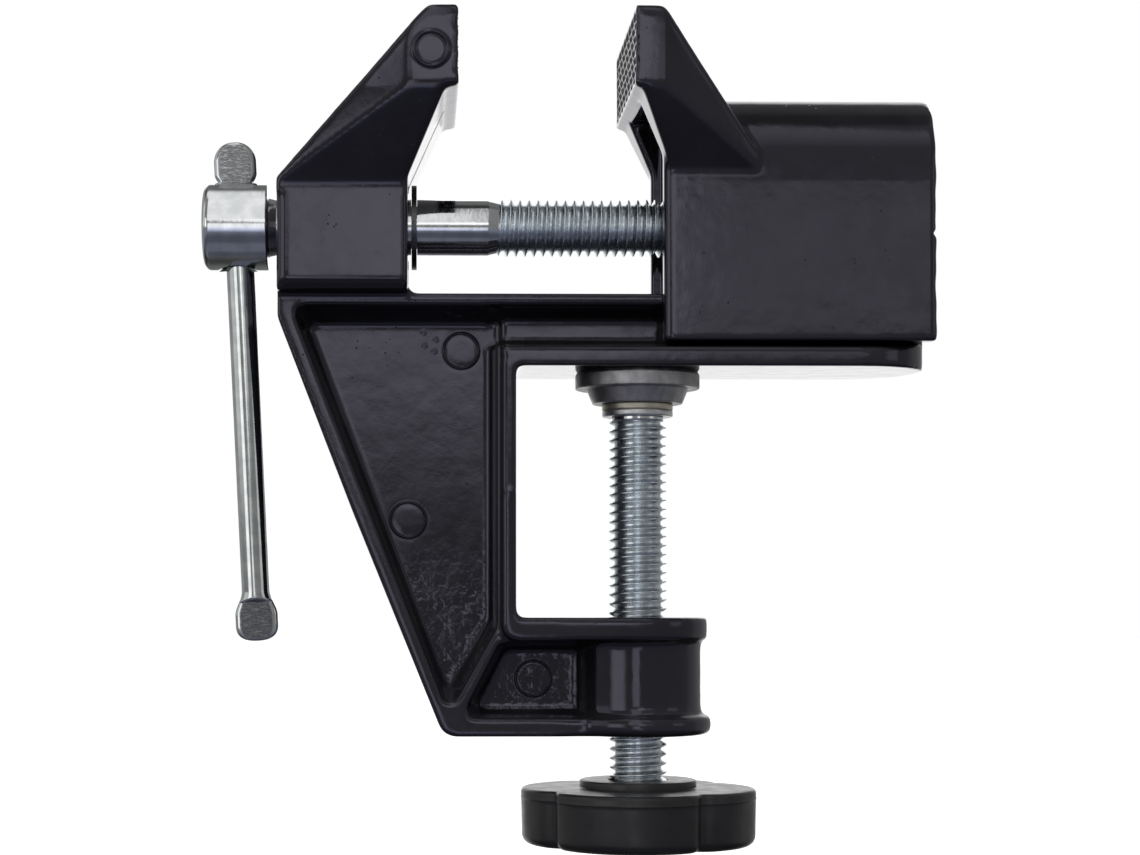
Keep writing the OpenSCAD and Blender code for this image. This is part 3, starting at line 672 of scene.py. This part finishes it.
def black_paint(name):
    m = Material(name)
    broad = m.ramp(m.noise(0.09, 3.0), 0.35, 0.65)
    colour = m.mix(broad, (0.0105, 0.0098, 0.0115), (0.0155, 0.0148, 0.017))
    rough = m.ramp(m.noise(0.35, 4.0), 0.3, 0.7, 0.05, 0.13)
    waves, peel, grain = m.noise(0.3, 1.0), m.noise(1.15, 2.0), m.noise(4.5, 3.0, 0.6)
    spots = m.ramp(m.cells(1.0), 0.15, 0.05)
    pits = m.times(spots, m.ramp(m.noise(0.3, 2.0), 0.6, 0.66))
    # The lower ends of the pockets are cast rough
    low = m.ramp(m.axis("Z"), -20.0, -34.0)
    web = m.ramp(m.math("ABSOLUTE", m.axis("Y")), 3.2, 2.4)
    coarse = m.times(m.times(low, web), m.noise(0.7, 2.0, 0.5))
    normal = m.bumps(
        (waves, 0.028), (peel, 0.007), (grain, 0.0025), (coarse, 0.085), (m.times(pits, -1.0), 0.08)
    )
    tint = (0.83, 0.79, 1.0)
    return m.finish(Base_Color=colour, Roughness=rough, Normal=normal, IOR=1.63, Specular_Tint=tint)


def zinc(name, grain, streaks, low, high, rough):
    """Bright zinc plate, with fine marks stretched by the grain."""
    m = Material(name)
    colour = m.mix(m.patches(0.5), low, high)
    lines = m.noise(1.0, 4.0, 0.65, stretch=grain)
    rough = m.ramp(lines, 0.3, 0.75, rough, rough + 0.22 * streaks)
    normal = m.bumps((lines, 0.006 * streaks), (m.noise(2.2, 2.0), 0.004))
    return m.finish(Base_Color=colour, Metallic=1.0, Roughness=rough, Normal=normal)


def struck_ends_and_shade(name, grain):
    """The bar's finish: bright rod, and duller flats where the ends were struck, with the lower flat
    painted darker still as painted shade.
    """
    m = Material(name)
    lines = m.noise(1.0, 4.0, 0.65, stretch=grain)
    rod = m.mix(m.patches(0.5), (0.6, 0.63, 0.63), (0.76, 0.78, 0.78))
    rough = m.ramp(lines, 0.3, 0.75, 0.07, 0.15)
    facing = m.node("SeparateXYZ", {"Vector": m.node("NewGeometry").outputs["Normal"]}).outputs["Y"]
    flat = m.ramp(m.math("ABSOLUTE", facing), 0.955, 0.99)
    z = m.axis("Z")
    ends = m.math("MAXIMUM", m.ramp(z, 25.4, 26.2), m.ramp(z, -30.9, -31.7))
    struck = m.times(flat, ends)
    marks = m.ramp(m.noise(1.0, 5.0, 0.75, stretch=(0.9, 0.9, 4.0)), 0.38, 0.62)
    # Painted shade: the lower flat's colour is much darker than the upper flat's, over the same
    # struck marks
    shaded_lower_flat = m.mix(marks, (0.18, 0.18, 0.195), (0.34, 0.34, 0.35))
    upper_end = m.mix(marks, (0.34, 0.34, 0.35), (0.78, 0.78, 0.78))
    # Darker towards the lower end, as painted shade
    dull_and_shaded_flats = m.mix(m.ramp(z, -5.0, 5.0), shaded_lower_flat, upper_end)
    colour = m.mix(struck, rod, dull_and_shaded_flats)
    rough = m.math("MULTIPLY_ADD", struck, 0.3, rough)
    normal = m.bumps((lines, 0.004), (m.times(struck, marks), 0.03))
    return m.finish(Base_Color=colour, Metallic=1.0, Roughness=rough, Normal=normal)


def plain_steel(name, low, high, rough_low, rough_high, grain, depth):
    m = Material(name)
    lines = m.noise(1.0, 4.0, 0.6, stretch=grain)
    colour = m.mix(m.ramp(lines, 0.3, 0.7), low, high)
    rough = m.ramp(m.noise(0.8, 3.0), 0.3, 0.7, rough_low, rough_high)
    normal = m.bumps((lines, depth), (m.noise(1.1, 2.0), 3.0 * depth))
    return m.finish(Base_Color=colour, Metallic=1.0, Roughness=rough, Normal=normal)


def plastic(name):
    m = Material(name)
    broad = m.ramp(m.noise(0.15, 3.0), 0.35, 0.65)
    colour = m.mix(broad, (0.012, 0.0115, 0.0125), (0.019, 0.0182, 0.0195))
    rough = m.ramp(m.noise(0.5, 3.0), 0.3, 0.7, 0.3, 0.4)
    normal = m.bumps((m.noise(6.0, 3.0), 0.004), (m.noise(0.6, 2.0), 0.02))
    return m.finish(Base_Color=colour, Roughness=rough, Normal=normal)


ROUND_GRAIN = (0.3, 0.3, 2.5)
paint = black_paint("black_paint")
zinc_turned = zinc("zinc_turned", (3.0, 0.4, 0.4), 0.3, (0.66, 0.68, 0.69), (0.82, 0.83, 0.84), 0.06)
zinc_thread = zinc("zinc_thread", (0.6, 0.6, 0.6), 0.5, (0.68, 0.73, 0.76), (0.84, 0.89, 0.93), 0.22)
zinc_bar = struck_ends_and_shade("zinc_bar", (1.6, 1.6, 0.25))
pad_steel = plain_steel(
    "pad_steel", (0.42, 0.405, 0.41), (0.58, 0.565, 0.57), 0.42, 0.55, (0.7, 0.7, 0.5), 0.006
)
ring_metal = plain_steel(
    "ring_metal", (0.62, 0.58, 0.45), (0.8, 0.76, 0.64), 0.42, 0.55, ROUND_GRAIN, 0.006
)
washer_metal = plain_steel(
    "washer_metal", (0.7, 0.7, 0.7), (0.86, 0.86, 0.86), 0.36, 0.48, ROUND_GRAIN, 0.005
)
clip_metal = plain_steel(
    "clip_metal", (0.11, 0.11, 0.115), (0.18, 0.18, 0.185), 0.32, 0.45, (1.5, 1.5, 1.5), 0.005
)
knob_plastic = plastic("knob_plastic")


def give_material(obj, mat):
    obj.data.materials.clear()
    obj.data.materials.append(mat)


def dress(obj, mat, body, slot, *nodes):
    give_material(obj, mat)
    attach(obj, body)
    if nodes:
        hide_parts(*nodes)


dress(cast_frame, paint, "frame", "black_paint", "frame")
dress(cast_jaw, paint, "jaw", "black_paint", "moving_jaw")
dress(screw_body, zinc_turned, "screw", "zinc_plate", "main_screw")
dress(main_thread, zinc_thread, "screw", "zinc_plate", "main_screw")
dress(tip, zinc_turned, "screw", "zinc_plate", "main_screw")
dress(bar, zinc_bar, "bar", "zinc_plate", "tommy_bar")
dress(clamp_thread, zinc_thread, "clamp", "zinc_plate", "clamp_screw")
dress(clamp_neck, zinc_turned, "clamp", "zinc_plate", "clamp_screw")
dress(pad, pad_steel, "pad", "grey_steel", "swivel_pad")
dress(ring, ring_metal, "clamp", "brassy_washer", "thrust_ring")
dress(washer, washer_metal, "clamp", "zinc_plate", "thrust_washer")
dress(grip, knob_plastic, "clamp", "black_plastic", "clamp_knob")

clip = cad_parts["retaining_clip"]
give_material(clip, clip_metal)
bevel = clip.modifiers.new("edges", "BEVEL")
bevel.width = 0.08 * MM
bevel.segments = 2
bevel.limit_method = "ANGLE"

# camera and light

# Fitted to the photograph, in metres and degrees
CAMERA_AT = (-0.03057, -0.31175, -0.03128)
PITCH_UP, YAW_RIGHT = 1.15, 0.995
camera = add_object("camera", bpy.data.cameras.new("camera"))
camera.location = CAMERA_AT
camera.rotation_euler = (math.radians(90 + PITCH_UP), 0, math.radians(-YAW_RIGHT))
camera.data.lens = 71.17
camera.data.sensor_width = 36
camera.data.shift_x = 0.1
camera.data.shift_y = 0.11
camera.data.clip_start = 0.01
camera.data.clip_end = 20
bpy.context.scene.camera = camera

lamp = bpy.data.lights.new("top_lamp", "AREA")
lamp.shape = "RECTANGLE"
lamp.size, lamp.size_y = 0.6, 0.5
lamp.energy = 3.0
top_lamp = add_object("top_lamp", lamp)
top_lamp.location = (-0.05, -0.35, 0.6)
top_lamp.rotation_euler = (-top_lamp.location).to_track_quat("-Z", "Y").to_euler()
top_lamp.visible_glossy = False

# A pale floor under the knob's lowest place, so that no pose dips into it. In metres
FLOOR_HALF, FLOOR_Z = 3.0, -0.0932
floor_mesh = bpy.data.meshes.new("floor")
corners = [(x * FLOOR_HALF, y * FLOOR_HALF, FLOOR_Z) for x, y in ((-1, -1), (1, -1), (1, 1), (-1, 1))]
floor_mesh.from_pydata(corners, [], [(0, 1, 2, 3)])
floor = add_object("floor", floor_mesh)
floor_mat = bpy.data.materials.new("floor_white")
floor_mat.use_nodes = True
floor_mat.node_tree.nodes.clear()
f = Nodes(floor_mat.node_tree)
pale = f.node("BsdfDiffuse", {"Color": (0.85, 0.85, 0.85)})
glow = f.node("Emission", {"Strength": f.times(f.node("LightPath").outputs["Is Camera Ray"], 0.8)})
surface = f.node("AddShader", {0: pale.outputs[0], 1: glow.outputs[0]})
f.node("OutputMaterial", {"Surface": surface.outputs[0]})
give_material(floor, floor_mat)
floor.visible_glossy = False
floor.visible_diffuse = False

# The surroundings, by direction in degrees: turn from the front to the right, and rise. In front
# is a dim room with white panels. Each panel fades in and out over four angles to the right,
# then over four angles up, and has a strength
PANELS = (
    ((-5.9, -3.7, 6.0, 6.6), (0, 8, 12.5, 15), 1.45),
    ((6.0, 6.6, 18, 24), (4, 7, 10.7, 11.8), 0.76),
    ((6.0, 6.6, 24, 30), (8, 11, 70, 76), 0.3),
    ((6.0, 6.6, 24, 30), (12, 62, 75, 80), 0.72),
    ((-22, -17, 0, 6), (6, 10, 72, 84), 0.95),
    ((-16, -12, -2.4, -1.2), (-26, -6, 0, 4), 1.15),
    ((-3, -2, 2.2, 3.2), (-24, -14, -8, -4.5), 0.9),
    ((-62, -48, -34, -22), (-7, -4, 12, 18), 1.25),
    ((-112, -88, -62, -50), (-3, 2, 30, 60), 0.62),
    ((44, 54, 66, 80), (-1, 4, 12, 25), 0.6),
)
WHITE, COOL = (1, 1, 1), (0.87, 0.93, 1.2)

world = bpy.data.worlds.new("studio")
bpy.context.scene.world = world
world.use_nodes = True
world.node_tree.nodes.clear()
w = Nodes(world.node_tree)


def window(value, a, b, c, d):
    """Rises from 0 to 1 between a and b, and falls to 0 between c and d."""
    return w.times(w.ramp(value, a, b), w.ramp(value, c, d, 1.0, 0.0))


direction = w.node("SeparateXYZ", {0: w.node("TexCoord").outputs["Generated"]})
dx, dy, dz = direction.outputs
turn = w.times(w.math("ARCTAN2", dx, w.times(dy, -1.0)), math.degrees(1))
rise = w.times(w.math("ARCSINE", dz), math.degrees(1))

room = w.times(w.ramp(rise, -34, -14, 0.09, 0.22), w.ramp(rise, 66, 74, 1.0, 0.2))
room = w.math("ADD", room, w.times(window(rise, -78, -70, -54, -44), 0.05))
for right, up, strength in PANELS:
    panel = w.times(window(turn, *right), window(rise, *up))
    room = w.math("MAXIMUM", room, w.times(panel, strength))
ceiling = w.times(w.ramp(rise, 60, 75), w.ramp(dx, -0.01, -0.06))
room = w.math("MAXIMUM", room, w.times(ceiling, 0.9))

# Behind the object the white background shows
behind = w.math("ADD", w.ramp(rise, -70, -40, 0.05, 0.15), w.ramp(rise, -30, -12, 0.0, 1.3))
behind = w.times(behind, w.ramp(rise, 38, 50, 1.0, 0.11))
behind = w.times(behind, w.ramp(w.math("ABSOLUTE", dx), 0.25, 0.55, 1.0, 0.22))
room = w.mix_level(w.ramp(dy, 0.0, 0.3), room, behind)

# The camera itself sees plain white, and the lower front of the room is cooler
seen = w.node("LightPath").outputs["Is Camera Ray"]
level = w.mix_level(seen, room, 1.0)
cool = w.times(w.ramp(dy, 0.1, -0.1), w.ramp(rise, -4, -16))
cool = w.times(cool, w.math("SUBTRACT", 1.0, seen))
background = w.node("Background", {"Color": w.mix(cool, WHITE, COOL), "Strength": level})
w.node("OutputWorld", {"Surface": background.outputs[0]})

bpy.context.scene.view_settings.view_transform = "Standard"
